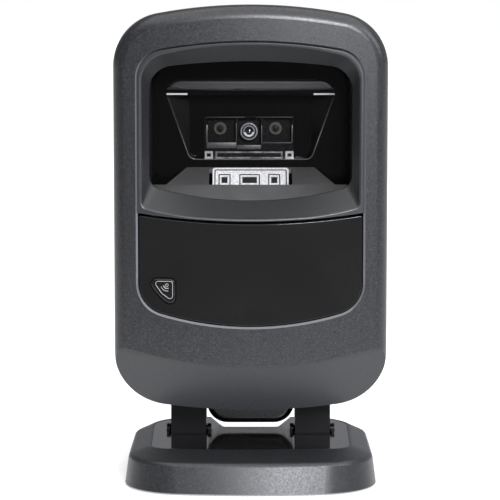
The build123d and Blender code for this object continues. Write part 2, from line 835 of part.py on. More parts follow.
for side, sign in sides:
    with BuildPart() as hinge_bracket:
        inner, outer = ear_faces
        for x in (sign * (inner - ear_thickness / 2), sign * (outer + ear_thickness / 2)):
            with BuildSketch(Plane.YZ.offset(x)):
                with Locations((hinge_y, (bracket_low + hinge_height) / 2)):
                    Rectangle(2 * ear_radius, hinge_height - bracket_low)
                with Locations((hinge_y, hinge_height)):
                    Circle(ear_radius)
                    Circle(pin_radius, mode=Mode.SUBTRACT)
            extrude(amount=ear_thickness / 2, both=True)
        with Locations((sign * (inner + outer) / 2, hinge_y, (bracket_low + bracket_floor) / 2)):
            Box(outer - inner + 2 * ear_thickness, 2 * ear_radius, bracket_floor - bracket_low)
            Box(6, 13, bracket_floor - bracket_low)
    pieces[f"hinge_bracket_{side}"] = hinge_bracket
    with BuildPart() as hinge_pin:
        length = ear_faces[1] - ear_faces[0] + 2 * ear_thickness
        with Locations(Location((sign * sum(ear_faces) / 2, hinge_y, hinge_height), (0, 90, 0))):
            Cylinder(pin_radius, length)
    pieces[f"hinge_pin_{side}"] = hinge_pin

with BuildPart() as friction_washers:
    for sign in (-1, 1):
        for x in (ear_faces[0] + washer_thickness / 2, ear_faces[1] - washer_thickness / 2):
            with BuildSketch(Plane.YZ.offset(sign * x)):
                with Locations((hinge_y, hinge_height)):
                    Circle(ear_radius)
                    Circle(pin_radius, mode=Mode.SUBTRACT)
            extrude(amount=washer_thickness / 2, both=True)
pieces["friction_washers"] = friction_washers

# ------------------------------------------------------------------ foot
pocket_slack = 0.5
ear_slot_length = leg_outer - leg_inner + 2 * (ear_gap + ear_thickness) + 0.3
base_screw_radius = 1.25
cover_screws = ((-31.5, -14), (31.5, -14), (-19.5, 19), (19.5, 19))


def deck_openings():
    """Plan of what is cut through the deck: pockets for the legs and hinge ears, and the notch."""
    with BuildSketch() as openings:
        with leg_locations():
            Rectangle(leg_outer - leg_inner + 2 * ear_gap, 2 * (leg_half_depth + pocket_slack))
            Rectangle(ear_slot_length, 2 * ear_radius + 0.4)
        add(notch_outline(0))
    return openings.sketch


with BuildPart() as cover_hollow:
    with BuildSketch(Plane.XY.offset(feet_height)):
        add(foot_section(cover_wall))
    with BuildSketch(Plane.XY.offset(rim_height - cover_wall)):
        add(rim_section(cover_wall))
    loft(ruled=True)
    with BuildSketch(Plane.XY.offset(rim_height - cover_wall)):
        add(rim_section(cover_wall))
    with BuildSketch(Plane.XY.offset(deck_height - inlay_thickness - 1.4)):
        add(deck_section(cover_wall))
    loft(ruled=True)
    with BuildSketch(Plane.XY):
        add(notch_outline(cover_wall))
    extrude(amount=20, mode=Mode.SUBTRACT)
    for x, y in cover_screws:
        with Locations((x, y, plate_top)):
            Cylinder(3, 12, align=(Align.CENTER, Align.CENTER, Align.MIN), mode=Mode.SUBTRACT)

with BuildPart() as base_cover:
    with BuildSketch(Plane.XY.offset(feet_height)):
        add(foot_section(0))
    with BuildSketch(Plane.XY.offset(rim_height)):
        add(rim_section(0))
    loft(ruled=True)
    with BuildSketch(Plane.XY.offset(rim_height)):
        add(rim_section(0))
    with BuildSketch(Plane.XY.offset(deck_height)):
        add(deck_section(0))
    loft(ruled=True)
    rim_edges = base_cover.edges().filter_by_position(Axis.Z, rim_height - 0.05, rim_height + 0.05)
    fillet(rim_edges, rim_round)
    add(cover_hollow.part, mode=Mode.SUBTRACT)
    with BuildSketch(Plane.XY.offset(deck_height - inlay_thickness)):
        add(deck_section(0.8))
    extrude(amount=5, mode=Mode.SUBTRACT)
    with BuildSketch(Plane.XY):
        add(deck_openings())
    extrude(amount=20, mode=Mode.SUBTRACT)
    for x, y in cover_screws:
        with Locations((x, y, plate_top)):
            Cylinder(
                base_screw_radius,
                5,
                align=(Align.CENTER, Align.CENTER, Align.MIN),
                mode=Mode.SUBTRACT,
            )
pieces["base_cover"] = base_cover

with BuildPart() as base_inlay:
    with BuildSketch(Plane.XY.offset(deck_height - inlay_thickness)):
        add(deck_section(0.9))
        add(deck_openings(), mode=Mode.SUBTRACT)
    extrude(amount=inlay_thickness - 0.05)
pieces["base_inlay"] = base_inlay

with BuildPart() as base_plate:
    with BuildSketch(Plane.XY.offset(feet_height)):
        add(foot_section(cover_wall + 0.7))
        add(notch_outline(cover_wall + 0.2), mode=Mode.SUBTRACT)
    extrude(amount=plate_top - feet_height)
    with Locations(Plane.XY.offset(feet_height).rotated((180, 0, 0))):
        with Locations([(x, -y) for x, y in cover_screws]):
            CounterSinkHole(base_screw_radius + 0.05, base_screw_radius + 1.15)
pieces["base_plate"] = base_plate

with BuildPart() as base_screws:
    for x, y in cover_screws:
        with Locations((x, y, feet_height)):
            shaft_align = (Align.CENTER, Align.CENTER, Align.MIN)
            Cone(base_screw_radius + 1.1, base_screw_radius, 1.1, align=shaft_align)
            Cylinder(base_screw_radius, 6, align=shaft_align)
            Cylinder(0.7, 0.7, align=shaft_align, mode=Mode.SUBTRACT)
pieces["base_screws"] = base_screws

with BuildPart() as ballast_weight:
    with Locations((0, -18.5, plate_top)):
        Box(50, 21, 6, align=(Align.CENTER, Align.CENTER, Align.MIN))
    fillet(ballast_weight.edges().filter_by(Axis.Z), 3)
    chamfer(ballast_weight.faces().sort_by(Axis.Z)[-1].edges(), 0.6)
pieces["ballast_weight"] = ballast_weight

with BuildPart() as rubber_feet:
    for x, y in ((-26, -26), (26, -26), (-24, 13), (24, 13)):
        with Locations((x, y, 0)):
            Cone(3.4, 3.7, feet_height, align=(Align.CENTER, Align.CENTER, Align.MIN))
pieces["rubber_feet"] = rubber_feet

for name, piece in pieces.items():
    piece.part.label = name
    export_step(piece.part, f"parts/{name}.step")
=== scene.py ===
"""The looks of a hands-free presentation barcode scanner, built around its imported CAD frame."""

import math

import bmesh
import bpy
from mathutils import Matrix, Vector


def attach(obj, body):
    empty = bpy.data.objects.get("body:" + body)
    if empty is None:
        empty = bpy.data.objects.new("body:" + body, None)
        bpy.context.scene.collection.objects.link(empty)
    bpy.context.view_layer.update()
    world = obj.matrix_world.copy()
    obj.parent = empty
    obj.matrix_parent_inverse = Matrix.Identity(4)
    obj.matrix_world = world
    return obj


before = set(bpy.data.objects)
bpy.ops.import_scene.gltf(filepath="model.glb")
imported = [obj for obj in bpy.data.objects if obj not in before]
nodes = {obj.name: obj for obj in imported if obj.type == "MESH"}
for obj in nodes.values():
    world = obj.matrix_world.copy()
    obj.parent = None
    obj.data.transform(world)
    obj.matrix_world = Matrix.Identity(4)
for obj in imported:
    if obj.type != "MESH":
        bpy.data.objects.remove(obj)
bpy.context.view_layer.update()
scene = bpy.context.scene

MM = 0.001
HEAD, BUTTON = "head", "tone_button"


def xyz(x, y, z):
    """A point given in millimetres."""
    return Vector((x, y, z)) * MM


# ---------------------------------------------------------------- camera
CAMERA_DISTANCE = 0.70
CAMERA_ELEVATION = math.radians(6.0)
CAMERA_LENS = 160.8
CAMERA_SHIFT = (-0.0012, 0.001)
AIM = xyz(0.0, 0.0, 69.5)


def make_camera():
    data = bpy.data.cameras.new("photo_camera")
    data.lens = CAMERA_LENS
    data.sensor_width = 36.0
    data.shift_x, data.shift_y = CAMERA_SHIFT
    data.clip_start = 0.01
    camera = bpy.data.objects.new("photo_camera", data)
    scene.collection.objects.link(camera)
    back = Vector((0.0, -math.cos(CAMERA_ELEVATION), math.sin(CAMERA_ELEVATION)))
    camera.location = AIM + back * CAMERA_DISTANCE
    camera.rotation_euler = (-back).to_track_quat("-Z", "Y").to_euler()
    scene.camera = camera


# ---------------------------------------------------------------- node helpers
NOISE_LOW, NOISE_HIGH = 0.3, 0.7  # a noise texture seldom leaves this range


class Nodes:
    """A node tree with short helpers. A value is a number, an (r, g, b) colour or another node's socket."""

    def __init__(self, tree):
        self.tree = tree

    def node(self, kind, **values):
        made = self.tree.nodes.new(kind)
        for key, value in values.items():
            setattr(made, key, value)
        return made

    def link(self, source, target):
        self.tree.links.new(source, target)

    def feed(self, value, target):
        """Gives a value of any kind to an input."""
        if isinstance(value, bpy.types.NodeSocket):
            self.link(value, target)
        else:
            target.default_value = (*value, 1.0) if isinstance(value, tuple) else value

    def part(self, vector, axis):
        """The X, Y or Z of a vector."""
        made = self.node("ShaderNodeSeparateXYZ")
        self.link(vector, made.inputs["Vector"])
        return made.outputs[axis]

    def calc(self, operation, *values):
        """One step of arithmetic."""
        made = self.node("ShaderNodeMath", operation=operation)
        for value, target in zip(values, made.inputs):
            self.feed(value, target)
        return made.outputs["Value"]

    def ranged(self, value, low_in, high_in, low_out, high_out):
        """value stretched from one range to another, and held inside it."""
        made = self.node("ShaderNodeMapRange")
        ends = {"From Min": low_in, "From Max": high_in, "To Min": low_out, "To Max": high_out}
        for name, number in ends.items():
            made.inputs[name].default_value = number
        self.link(value, made.inputs["Value"])
        return made.outputs["Result"]

    def spread(self, noise, low, high):
        """A noise stretched so that its usual range runs from low to high."""
        return self.ranged(noise, NOISE_LOW, NOISE_HIGH, low, high)

    def shades(self, value, dark, light, low=NOISE_LOW, high=NOISE_HIGH):
        """A colour that goes from dark to light as value goes from low to high."""
        made = self.node("ShaderNodeValToRGB")
        for element, place, colour in zip(made.color_ramp.elements, (low, high), (dark, light)):
            element.position = place
            element.color = (*colour, 1.0)
        self.link(value, made.inputs["Fac"])
        return made.outputs["Color"]

    def mixed(self, factor, first, second):
        """The first colour where factor is 0 and the second where it is 1."""
        made = self.node("ShaderNodeMix", data_type="RGBA")
        self.link(factor, made.inputs["Factor"])
        for name, value in (("A", first), ("B", second)):
            target = [socket for socket in made.inputs if socket.name == name and socket.type == "RGBA"][0]
            self.feed(value, target)
        return [socket for socket in made.outputs if socket.type == "RGBA"][0]

    def blended(self, factor, first, second):
        """The first shader where factor is 0 and the second where it is 1."""
        made = self.node("ShaderNodeMixShader")
        for source, target in zip((factor, first, second), made.inputs):
            self.link(source, target)
        return made.outputs["Shader"]


class Finish(Nodes):
    """One procedural material, laid out in object space. Finish.made lists them all by name."""

    made = {}

    def __init__(self, name, metallic=0.0, specular=0.5, coat=0.0, coat_roughness=0.05):
        self.material = bpy.data.materials.new(name)
        self.material.use_nodes = True
        super().__init__(self.material.node_tree)
        self.shader = self.tree.nodes["Principled BSDF"]
        self.shader.inputs["Metallic"].default_value = metallic
        self.shader.inputs["Specular IOR Level"].default_value = specular
        self.shader.inputs["Coat Weight"].default_value = coat
        self.shader.inputs["Coat Roughness"].default_value = coat_roughness
        coordinates = self.node("ShaderNodeTexCoord")
        self.space = coordinates.outputs["Object"]
        self.normal = coordinates.outputs["Normal"]
        Finish.made[name] = self.material

    def stretched(self, stretch):
        """Object space scaled by stretch, for grain that runs one way."""
        mapping = self.node("ShaderNodeMapping")
        mapping.inputs["Scale"].default_value = stretch
        self.link(self.space, mapping.inputs["Vector"])
        return mapping.outputs["Vector"]

    def noise(self, size_mm, detail=2.0, rough=0.5, stretch=None):
        """Smooth noise whose blobs are about size_mm across."""
        made = self.node("ShaderNodeTexNoise")
        made.inputs["Scale"].default_value = 1.0 / (size_mm * MM)
        made.inputs["Detail"].default_value = detail
        made.inputs["Roughness"].default_value = rough
        self.link(self.stretched(stretch) if stretch else self.space, made.inputs["Vector"])
        return made.outputs["Fac"]

    def cells(self, size_mm):
        """Cells about size_mm across, each with a random value."""
        made = self.node("ShaderNodeTexVoronoi")
        made.inputs["Scale"].default_value = 1.0 / (size_mm * MM)
        self.link(self.space, made.inputs["Vector"])
        return made.outputs["Color"]

    def colour(self, value):
        self.feed(value, self.shader.inputs["Base Color"])

    def rough(self, value):
        self.feed(value, self.shader.inputs["Roughness"])

    def bump(self, height, depth_mm):
        made = self.node("ShaderNodeBump")
        made.inputs["Distance"].default_value = depth_mm * MM
        made.inputs["Strength"].default_value = 1.0
        self.link(height, made.inputs["Height"])
        self.link(made.outputs["Normal"], self.shader.inputs["Normal"])


def grey(value, tint=(1.0, 1.0, 1.0)):
    """A grey from its sRGB level, 0 to 255, as linear light."""
    level = value / 255.0
    linear = level / 12.92 if level <= 0.04045 else ((level + 0.055) / 1.055) ** 2.4
    return tuple(linear * share for share in tint)


# ---------------------------------------------------------------- charcoal plastics
COOL = (0.95, 0.98, 1.07)
FLECK_SIZE = 0.2  # millimetres
CHARCOAL_GRAIN = 0.28

# Where the bezel's finish and its painted light change, in metres. Each soft edge is a pair: where it starts
# and where it ends.
CREASE = (0.0378, 0.0392)  # the height of the crease above the lower facet, at the middle
CREASE_BOW = 3.15  # the crease climbs by this times the square of the distance from the middle
BEVEL_SIDE = (0.0346, 0.0349)
BEVEL_BOTTOM = (0.0490, 0.0494)
BEVEL_TOP = (0.128, 0.133)
BEVEL_FACING, BEVEL_SPREAD = -0.70, 0.16  # Y of the bevel's normal, and how far from it still counts


def flecked_plastic(name, dark, light, fleck, fleck_share, roughness, depth_mm, specular=0.45):
    """Moulded charcoal plastic with fine metallic flecks and a fine eggshell grain."""
    finish = Finish(name, specular=specular)
    body = finish.shades(finish.noise(0.9, 4.0, 0.6), grey(dark, COOL), grey(light, COOL))
    flecks = finish.ranged(finish.cells(FLECK_SIZE), 1.0 - fleck_share, 1.0, 0.0, 1.0)
    finish.colour(finish.mixed(flecks, body, grey(fleck, COOL)))
    finish.rough(finish.spread(finish.noise(0.6, 3.0), roughness - 0.05, roughness + 0.05))
    finish.bump(finish.noise(CHARCOAL_GRAIN), depth_mm)


def bezel_plastic():
    """The front bezel: a grained face, a smooth lower facet and a glossier bevel round its opening. The
    facet's lighter grey is painted light from the floor, and the bevel's lighter grey is a painted highlight.
    """
    finish = Finish("bezel_charcoal")
    across = finish.calc("ABSOLUTE", finish.part(finish.space, "X"))
    height = finish.part(finish.space, "Z")

    climb = finish.calc("MULTIPLY", finish.calc("POWER", across, 2.0), CREASE_BOW)
    face = finish.ranged(finish.calc("SUBTRACT", height, climb), *CREASE, 0.0, 1.0)
    grained = finish.shades(finish.noise(0.9, 4.0, 0.6), grey(25, COOL), grey(31, COOL))
    flecks = finish.ranged(finish.cells(FLECK_SIZE), 0.62, 1.0, 0.0, 1.0)
    # Below the crease the lower facet is a lighter grey: painted light, as from the floor below it.
    body = finish.mixed(face, grey(44, COOL), grained)
    flecked = finish.mixed(finish.calc("MULTIPLY", flecks, face), body, grey(66, COOL))

    # The bevel round the opening: glossier, and a lighter grey that is a painted highlight.
    beside = finish.ranged(across, *BEVEL_SIDE, 1.0, 0.0)
    above = finish.ranged(height, *BEVEL_BOTTOM, 0.0, 1.0)
    below = finish.ranged(height, *BEVEL_TOP, 1.0, 0.0)
    slanted = finish.calc("COMPARE", finish.part(finish.normal, "Y"), BEVEL_FACING, BEVEL_SPREAD)
    around = finish.calc("MULTIPLY", beside, above)
    bevel = finish.calc("MULTIPLY", around, finish.calc("MULTIPLY", below, slanted))

    finish.colour(finish.mixed(bevel, flecked, grey(92, COOL)))
    dull = finish.spread(finish.noise(0.6, 3.0), 0.27, 0.37)
    finish.rough(finish.calc("SUBTRACT", dull, finish.calc("MULTIPLY", bevel, 0.12)))
    finish.bump(finish.calc("MULTIPLY", finish.noise(CHARCOAL_GRAIN), face), 0.012)


def make_charcoals():
    bezel_plastic()
    flecked_plastic("textured_charcoal", 28, 34, 60, 0.35, 0.36, 0.010)
    flecked_plastic("satin_charcoal", 30, 34, 46, 0.3, 0.30, 0.006)
    flecked_plastic("surround_charcoal", 34, 39, 52, 0.3, 0.36, 0.006, specular=0.5)
    flecked_plastic("leg_black", 12, 14, 19, 0.3, 0.46, 0.006, specular=0.18)


# ---------------------------------------------------------------- plain plastics and rubber
def make_plastics():
    finish = Finish("gloss_black", specular=0.35)
    finish.colour(finish.shades(finish.noise(14.0, 3.0), grey(22), grey(25)))
    finish.rough(finish.spread(finish.noise(6.0, 5.0, 0.6), 0.06, 0.11))
    finish.bump(finish.noise(5.0, 1.0), 0.01)

    finish = Finish("black_rubber", specular=0.3)
    finish.colour(finish.shades(finish.noise(1.6, 4.0), grey(24), grey(36), high=0.75))
    finish.rough(finish.spread(finish.noise(0.7, 3.0), 0.68, 0.85))
    finish.bump(finish.noise(0.35), 0.05)

    finish = Finish("chamber_grey")
    finish.colour(finish.shades(finish.noise(5.0, 4.0), grey(80), grey(88)))
    finish.rough(finish.spread(finish.noise(0.8, 3.0), 0.30, 0.40))
    finish.bump(finish.noise(0.3), 0.01)

    finish = Finish("bar_grey")
    finish.colour(finish.shades(finish.noise(5.0, 4.0), grey(46), grey(52)))
    finish.rough(finish.spread(finish.noise(0.8, 3.0), 0.28, 0.36))
    finish.bump(finish.noise(0.3), 0.008)

    finish = Finish("ledge_grey")
    finish.colour(finish.shades(finish.noise(1.2, 4.0, 0.6, (1.0, 3.0, 3.0)), grey(58), grey(84)))
    finish.rough(finish.spread(finish.noise(0.8, 3.0), 0.3, 0.42))
    finish.bump(finish.noise(0.6, 3.0), 0.02)

    # A light grey for painted highlights along fine edges.
    finish = Finish("edge_highlight_grey")
    finish.colour(finish.shades(finish.noise(1.5, 4.0), grey(62), grey(88)))
    finish.rough(finish.spread(finish.noise(0.8, 3.0), 0.24, 0.36))
    finish.bump(finish.noise(0.3), 0.006)

    finish = Finish("icon_grey")
    finish.colour(finish.shades(finish.noise(0.8, 3.0), grey(128), grey(150)))
    finish.rough(finish.spread(finish.noise(0.5, 3.0), 0.25, 0.35))
    finish.bump(finish.noise(0.2), 0.004)

    finish = Finish("white_diffuser")
    speck = finish.ranged(finish.noise(0.5, 3.0, 0.6), 0.38, 0.62, 0.0, 1.0)
    finish.colour(finish.mixed(speck, grey(196), grey(243)))
    finish.rough(finish.spread(finish.noise(0.4, 3.0), 0.3, 0.5))
    finish.bump(finish.noise(0.3), 0.04)


def chamber_plastic():
    """Glossy black inside the scan recess. Faces turned sideways, such as the tunnel's side walls, get a
    lighter grey as painted light, and are also duller.
    """
    finish = Finish("chamber_black", specular=0.25)
    sideways = finish.calc("ABSOLUTE", finish.part(finish.normal, "X"))
    # Sideways faces: a lighter grey that is painted light, and a higher roughness.
    side_wall_lit_and_dull = finish.ranged(sideways, 0.5, 0.7, 0.0, 1.0)
    black = finish.shades(finish.noise(6.0, 4.0), grey(7), grey(9))
    finish.colour(finish.mixed(side_wall_lit_and_dull, black, grey(36)))
    smooth = finish.spread(finish.noise(4.0, 3.0), 0.10, 0.15)
    finish.rough(finish.calc("ADD", smooth, finish.calc("MULTIPLY", side_wall_lit_and_dull, 0.22)))
    finish.bump(finish.noise(2.0), 0.004)


# ---------------------------------------------------------------- metals
def make_metals():
    for name, level, roughness in (
        ("bright_metal", 205, 0.2),
        ("plated_steel", 172, 0.3),
        ("satin_metal", 132, 0.42),
    ):
        finish = Finish(name, metallic=1.0)
        finish.colour(finish.shades(finish.noise(2.5, 4.0), grey(level - 12), grey(level)))
        brushed = finish.noise(0.5, 3.0, 0.5, (1.0, 9.0, 9.0))
        finish.rough(finish.spread(brushed, roughness - 0.06, roughness + 0.1))
        finish.bump(brushed, 0.006)

    finish = Finish("dull_metal", metallic=0.9)
    finish.colour(finish.shades(finish.noise(2.2, 3.0, 0.6), grey(58), grey(150), 0.35, 0.65))
    finish.rough(finish.spread(finish.noise(0.8, 3.0), 0.28, 0.4))
    finish.bump(finish.noise(0.3), 0.006)

    finish = Finish("blackened_steel", specular=0.2)
    finish.colour(finish.shades(finish.noise(1.2, 4.0), grey(12), grey(17)))
    finish.rough(finish.spread(finish.noise(0.6, 3.0), 0.34, 0.46))
    finish.bump(finish.noise(0.3), 0.008)

    finish = Finish("cast_iron", metallic=0.6)
    finish.colour(finish.shades(finish.noise(1.5, 5.0), grey(70), grey(104)))
    finish.rough(finish.spread(finish.noise(0.8, 4.0), 0.55, 0.75))
    finish.bump(finish.noise(0.6, 4.0), 0.15)

    finish = Finish("contact_gold", metallic=1.0)
    finish.colour(finish.shades(finish.noise(0.8, 3.0), (0.72, 0.47, 0.15), (0.88, 0.62, 0.24)))
    finish.rough(finish.spread(finish.noise(0.5, 3.0), 0.18, 0.3))
    finish.bump(finish.noise(0.3), 0.006)


# ---------------------------------------------------------------- electronics and optics
def make_electronics():
    finish = Finish("board_green", coat=0.3, coat_roughness=0.15)
    traces = finish.ranged(finish.noise(1.2, 0.0, 0.5, (1.0, 4.0, 1.0)), 0.52, 0.54, 0.0, 1.0)
    finish.colour(finish.mixed(traces, (0.006, 0.06, 0.022), (0.016, 0.13, 0.05)))
    finish.rough(finish.spread(finish.noise(2.0), 0.35, 0.5))
    finish.bump(traces, 0.03)

    finish = Finish("black_component", specular=0.2)
    finish.colour(finish.shades(finish.noise(1.0, 4.0), grey(9), grey(12)))
    finish.rough(finish.spread(finish.noise(0.5, 3.0), 0.2, 0.3))
    finish.bump(finish.noise(0.25), 0.004)

    finish = Finish("flex_amber", coat=0.5, coat_roughness=0.1)
    tracks = finish.noise(0.9, 0.0, 0.5, (6.0, 0.2, 0.2))
    finish.colour(finish.shades(tracks, (0.42, 0.12, 0.015), (0.62, 0.24, 0.04), 0.45, 0.55))
    finish.rough(finish.spread(finish.noise(1.5, 3.0), 0.25, 0.4))
    finish.bump(finish.noise(0.8), 0.01)

    finish = Finish("led_dome", coat=0.6, coat_roughness=0.08)
    finish.colour(finish.shades(finish.noise(0.9, 3.0), (0.032, 0.028, 0.020), (0.060, 0.053, 0.040)))
    finish.rough(finish.spread(finish.noise(0.6, 3.0), 0.25, 0.4))
    finish.bump(finish.noise(0.4), 0.01)

    finish = Finish("lens_glass", specular=0.6, coat=1.0, coat_roughness=0.02)
    finish.colour(finish.shades(finish.noise(1.2), (0.012, 0.012, 0.02), (0.03, 0.026, 0.045)))
    finish.rough(finish.spread(finish.noise(1.5), 0.03, 0.07))


def clear_window():
    """A coated clear window: mostly seen through, with a reflection that grows towards grazing views."""
    finish = Finish("clear_window")
    finish.tree.nodes.remove(finish.shader)
    clear = finish.node("ShaderNodeBsdfTransparent")
    finish.feed((0.94, 0.94, 0.94), clear.inputs["Color"])
    gloss = finish.node("ShaderNodeBsdfGlossy")
    finish.link(finish.spread(finish.noise(8.0, 4.0), 0.02, 0.06), gloss.inputs["Roughness"])
    edge = finish.node("ShaderNodeFresnel")
    edge.inputs["IOR"].default_value = 1.2
    outside = finish.calc("SUBTRACT", 1.0, finish.node("ShaderNodeNewGeometry").outputs["Backfacing"])
    mirrored = finish.calc("MULTIPLY", edge.outputs["Fac"], outside)
    both = finish.blended(mirrored, clear.outputs["BSDF"], gloss.outputs["BSDF"])
    finish.link(both, finish.tree.nodes["Material Output"].inputs["Surface"])


def make_finishes():
    make_charcoals()
    make_plastics()
    chamber_plastic()
    make_metals()
    make_electronics()
    clear_window()


CLOSER_FINISH = {
    "leg_left": "leg_black",
    "leg_right": "leg_black",
    "front_bezel": "bezel_charcoal",
    "window_surround": "surround_charcoal",
    "baffle_bar": "bar_grey",
    "engine_connector": "dull_metal",
    "lens_barrel": "satin_metal",
    "aiming_lens_left": "led_dome",
    "aiming_lens_right": "led_dome",
}


def paint_nodes():
    """Each CAD node takes the procedural finish of its own slot, or a closer one named above."""
    for name, node in nodes.items():
        for place in node.material_slots:
            slot = place.material.name.split(".")[0]
            place.material = Finish.made[CLOSER_FINISH.get(name, slot)]


# ---------------------------------------------------------------- shapes
FRONT = Vector((0.0, -1.0, 0.0))
BEAD_SIDES = 12
ARC_STEPS = 24
CORNER_STEPS = 8


def placed(name, mesh, finish, body):
    """A bmesh in metres made into a smooth object with a named finish, which rides a body."""
    data = bpy.data.meshes.new(name)
    mesh.to_mesh(data)
    mesh.free()
    data.materials.append(Finish.made[finish])
    for face in data.polygons:
        face.use_smooth = True
    made = bpy.data.objects.new(name, data)
    scene.collection.objects.link(made)
    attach(made, body)


def soft_boxes(name, boxes, bevel, finish, body):
    """Boxes with rounded edges as one object; each is a low and a high corner in millimetres."""
    mesh = bmesh.new()
    for low, high in boxes:
        low, high = xyz(*low), xyz(*high)
        spread = Matrix.Diagonal((*(high - low), 1.0))
        bmesh.ops.create_cube(mesh, size=1.0, matrix=Matrix.Translation((low + high) / 2) @ spread)
    bmesh.ops.bevel(mesh, geom=mesh.edges[:], offset=bevel * MM, segments=3, profile=0.5, affect="EDGES")
    placed(name, mesh, finish, body)


def sweep(mesh, points, half_width, half_depth, facing=FRONT, closed=False):
    """An oval bead along points in millimetres, half_depth thick each way along facing."""
    rings = []
    count = len(points)
    for index, point in enumerate(points):
        before = points[index - 1] if closed or index else point
        after = points[(index + 1) % count] if closed or index < count - 1 else point
        along = (after - before).normalized()
        across = along.cross(facing).normalized()
        ring = []
        for step in range(BEAD_SIDES):
            turn = 2 * math.pi * step / BEAD_SIDES
            offset = across * (half_width * math.cos(turn)) + facing * (half_depth * math.sin(turn))
            ring.append(mesh.verts.new((point + offset) * MM))
        rings.append(ring)
    pairs = list(zip(rings, rings[1:])) + ([(rings[-1], rings[0])] if closed else [])
    for first, second in pairs:
        for step in range(BEAD_SIDES):
            following = (step + 1) % BEAD_SIDES
            mesh.faces.new((first[step], first[following], second[following], second[step]))
    if not closed:
        mesh.faces.new(rings[0][::-1])
        mesh.faces.new(rings[-1])
    bmesh.ops.recalc_face_normals(mesh, faces=mesh.faces[:])


def arc_path(middle_x, middle_z, radius, start, end, depth_at):
    """Points along an arc seen from the front, angles in degrees from +X towards +Z."""
    path = []
    for step in range(ARC_STEPS + 1):
        turn = math.radians(start + (end - start) * step / ARC_STEPS)
        x, z = middle_x + radius * math.cos(turn), middle_z + radius * math.sin(turn)
        path.append(Vector((x, depth_at(x), z)))
    return path


def ring_path(middle_x, middle_z, radius, depth_at):
    """Points round a circle for a closed bead; the step that closes it is about twice as wide."""
    return arc_path(middle_x, middle_z, radius, 0.0, 345.0, depth_at)[:-1]


def rounded_path(corners, radius, closed=True):
    """The outline through corners (pairs), with each corner turned by a short arc."""
    path = []
    count = len(corners)
    for index, corner in enumerate(corners):
        corner = Vector(corner)
        if not closed and index in (0, count - 1):
            path.append(corner)
            continue
        before = (Vector(corners[index - 1]) - corner).normalized()
        after = (Vector(corners[(index + 1) % count]) - corner).normalized()
        half = before.angle(after) / 2
        reach = radius / math.tan(half)
        middle = corner + (before + after).normalized() * (radius / math.sin(half))
        first, last = corner + before * reach - middle, corner + after * reach - middle
        for step in range(CORNER_STEPS + 1):
            share = step / CORNER_STEPS
            spoke = (first * (1 - share) + last * share).normalized() * radius
            path.append(middle + spoke)
    return path


# ---------------------------------------------------------------- the tone button's icon
CROWN_CENTRE, BUTTON_FACE_RADIUS = 292.0, 329.75
ICON_X, ICON_Z = -24.9, 63.0
ICON_RIM = [(-29.0, 64.15), (-23.2, 64.15), (-23.2, 58.2), (-26.4, 60.5)]


def button_face(x):
    """Depth of the tone button's bowed face at x."""
    return CROWN_CENTRE - math.sqrt(BUTTON_FACE_RADIUS**2 - x**2)


def make_button_icon():
    """A small sound icon on the button: a cup with two waves, inside a fine raised rim whose light grey is
    partly a painted highlight along the button's edge.
    """
    mesh = bmesh.new()
    sweep(mesh, ring_path(ICON_X, ICON_Z, 0.42, button_face), 0.09, 0.07, closed=True)
    sweep(mesh, arc_path(ICON_X, ICON_Z, 0.98, 185.0, 300.0, button_face), 0.15, 0.09)
    sweep(mesh, arc_path(ICON_X, ICON_Z, 1.75, 195.0, 285.0, button_face), 0.10, 0.08)
    # The rim bead: partly a raised rim, and partly a painted highlight along the button's edge.
    rim_highlight = [Vector((point.x, button_face(point.x), point.y)) for point in rounded_path(ICON_RIM, 0.8)]
    sweep(mesh, rim_highlight, 0.10, 0.07, closed=True)
    placed("button_icon", mesh, "icon_grey", BUTTON)


# ---------------------------------------------------------------- details behind the window
STRIP_FRONT, STRIP_BACK = 0.85, 1.2
LENS_X, LENS_Z, LENS_DEPTH = -0.5, 106.7, 2.0
AIMING_X, AIMING_Z, AIMING_DEPTH = (-9.5, 7.8), 107.6, 2.6
TUNNEL_FRONT = -8.0
TUNNEL_MOUTH = [(-25.4, 117.6), (-18.7, 98.6), (18.7, 98.6), (25.4, 117.6)]


def make_engine_edge_highlights_and_ledges():
    """Light grey strips along the edges of the engine's three bays, which are painted highlights, and the
    ledges below them.
    """
    # Painted highlights: light grey strips where the bays' edges catch the light.
    edges = [
        ((-13.9, STRIP_FRONT, 103.4), (-13.4, STRIP_BACK, 108.8)),
        ((-4.6, STRIP_FRONT, 103.4), (-4.35, STRIP_BACK, 109.4)),
        ((3.3, STRIP_FRONT, 102.6), (3.6, STRIP_BACK, 108.6)),
        ((12.75, STRIP_FRONT, 103.4), (13.15, STRIP_BACK, 108.8)),
        ((-14.0, STRIP_FRONT, 111.1), (-1.8, STRIP_BACK, 111.3)),
        ((1.6, STRIP_FRONT, 111.1), (13.2, STRIP_BACK, 111.3)),
    ]
    soft_boxes("engine_edge_highlights", edges, 0.07, "edge_highlight_grey", HEAD)
    ledges = [
        ((-13.7, 0.75, 101.5), (-4.4, STRIP_BACK, 103.35)),
        ((-4.3, 0.65, 101.2), (3.25, STRIP_BACK, 102.55)),
        ((3.7, 0.9, 103.05), (12.9, STRIP_BACK, 103.35)),
    ]
    soft_boxes("engine_ledges", ledges, 0.1, "ledge_grey", HEAD)


def make_lens_glint():
    """A pale arc low on the lens: a painted glint of the light caught in the lens."""
    mesh = bmesh.new()
    sweep(mesh, arc_path(LENS_X, LENS_Z, 1.4, 190.0, 352.0, lambda x: LENS_DEPTH), 0.34, 0.14)
    placed("lens_glint", mesh, "white_diffuser", HEAD)


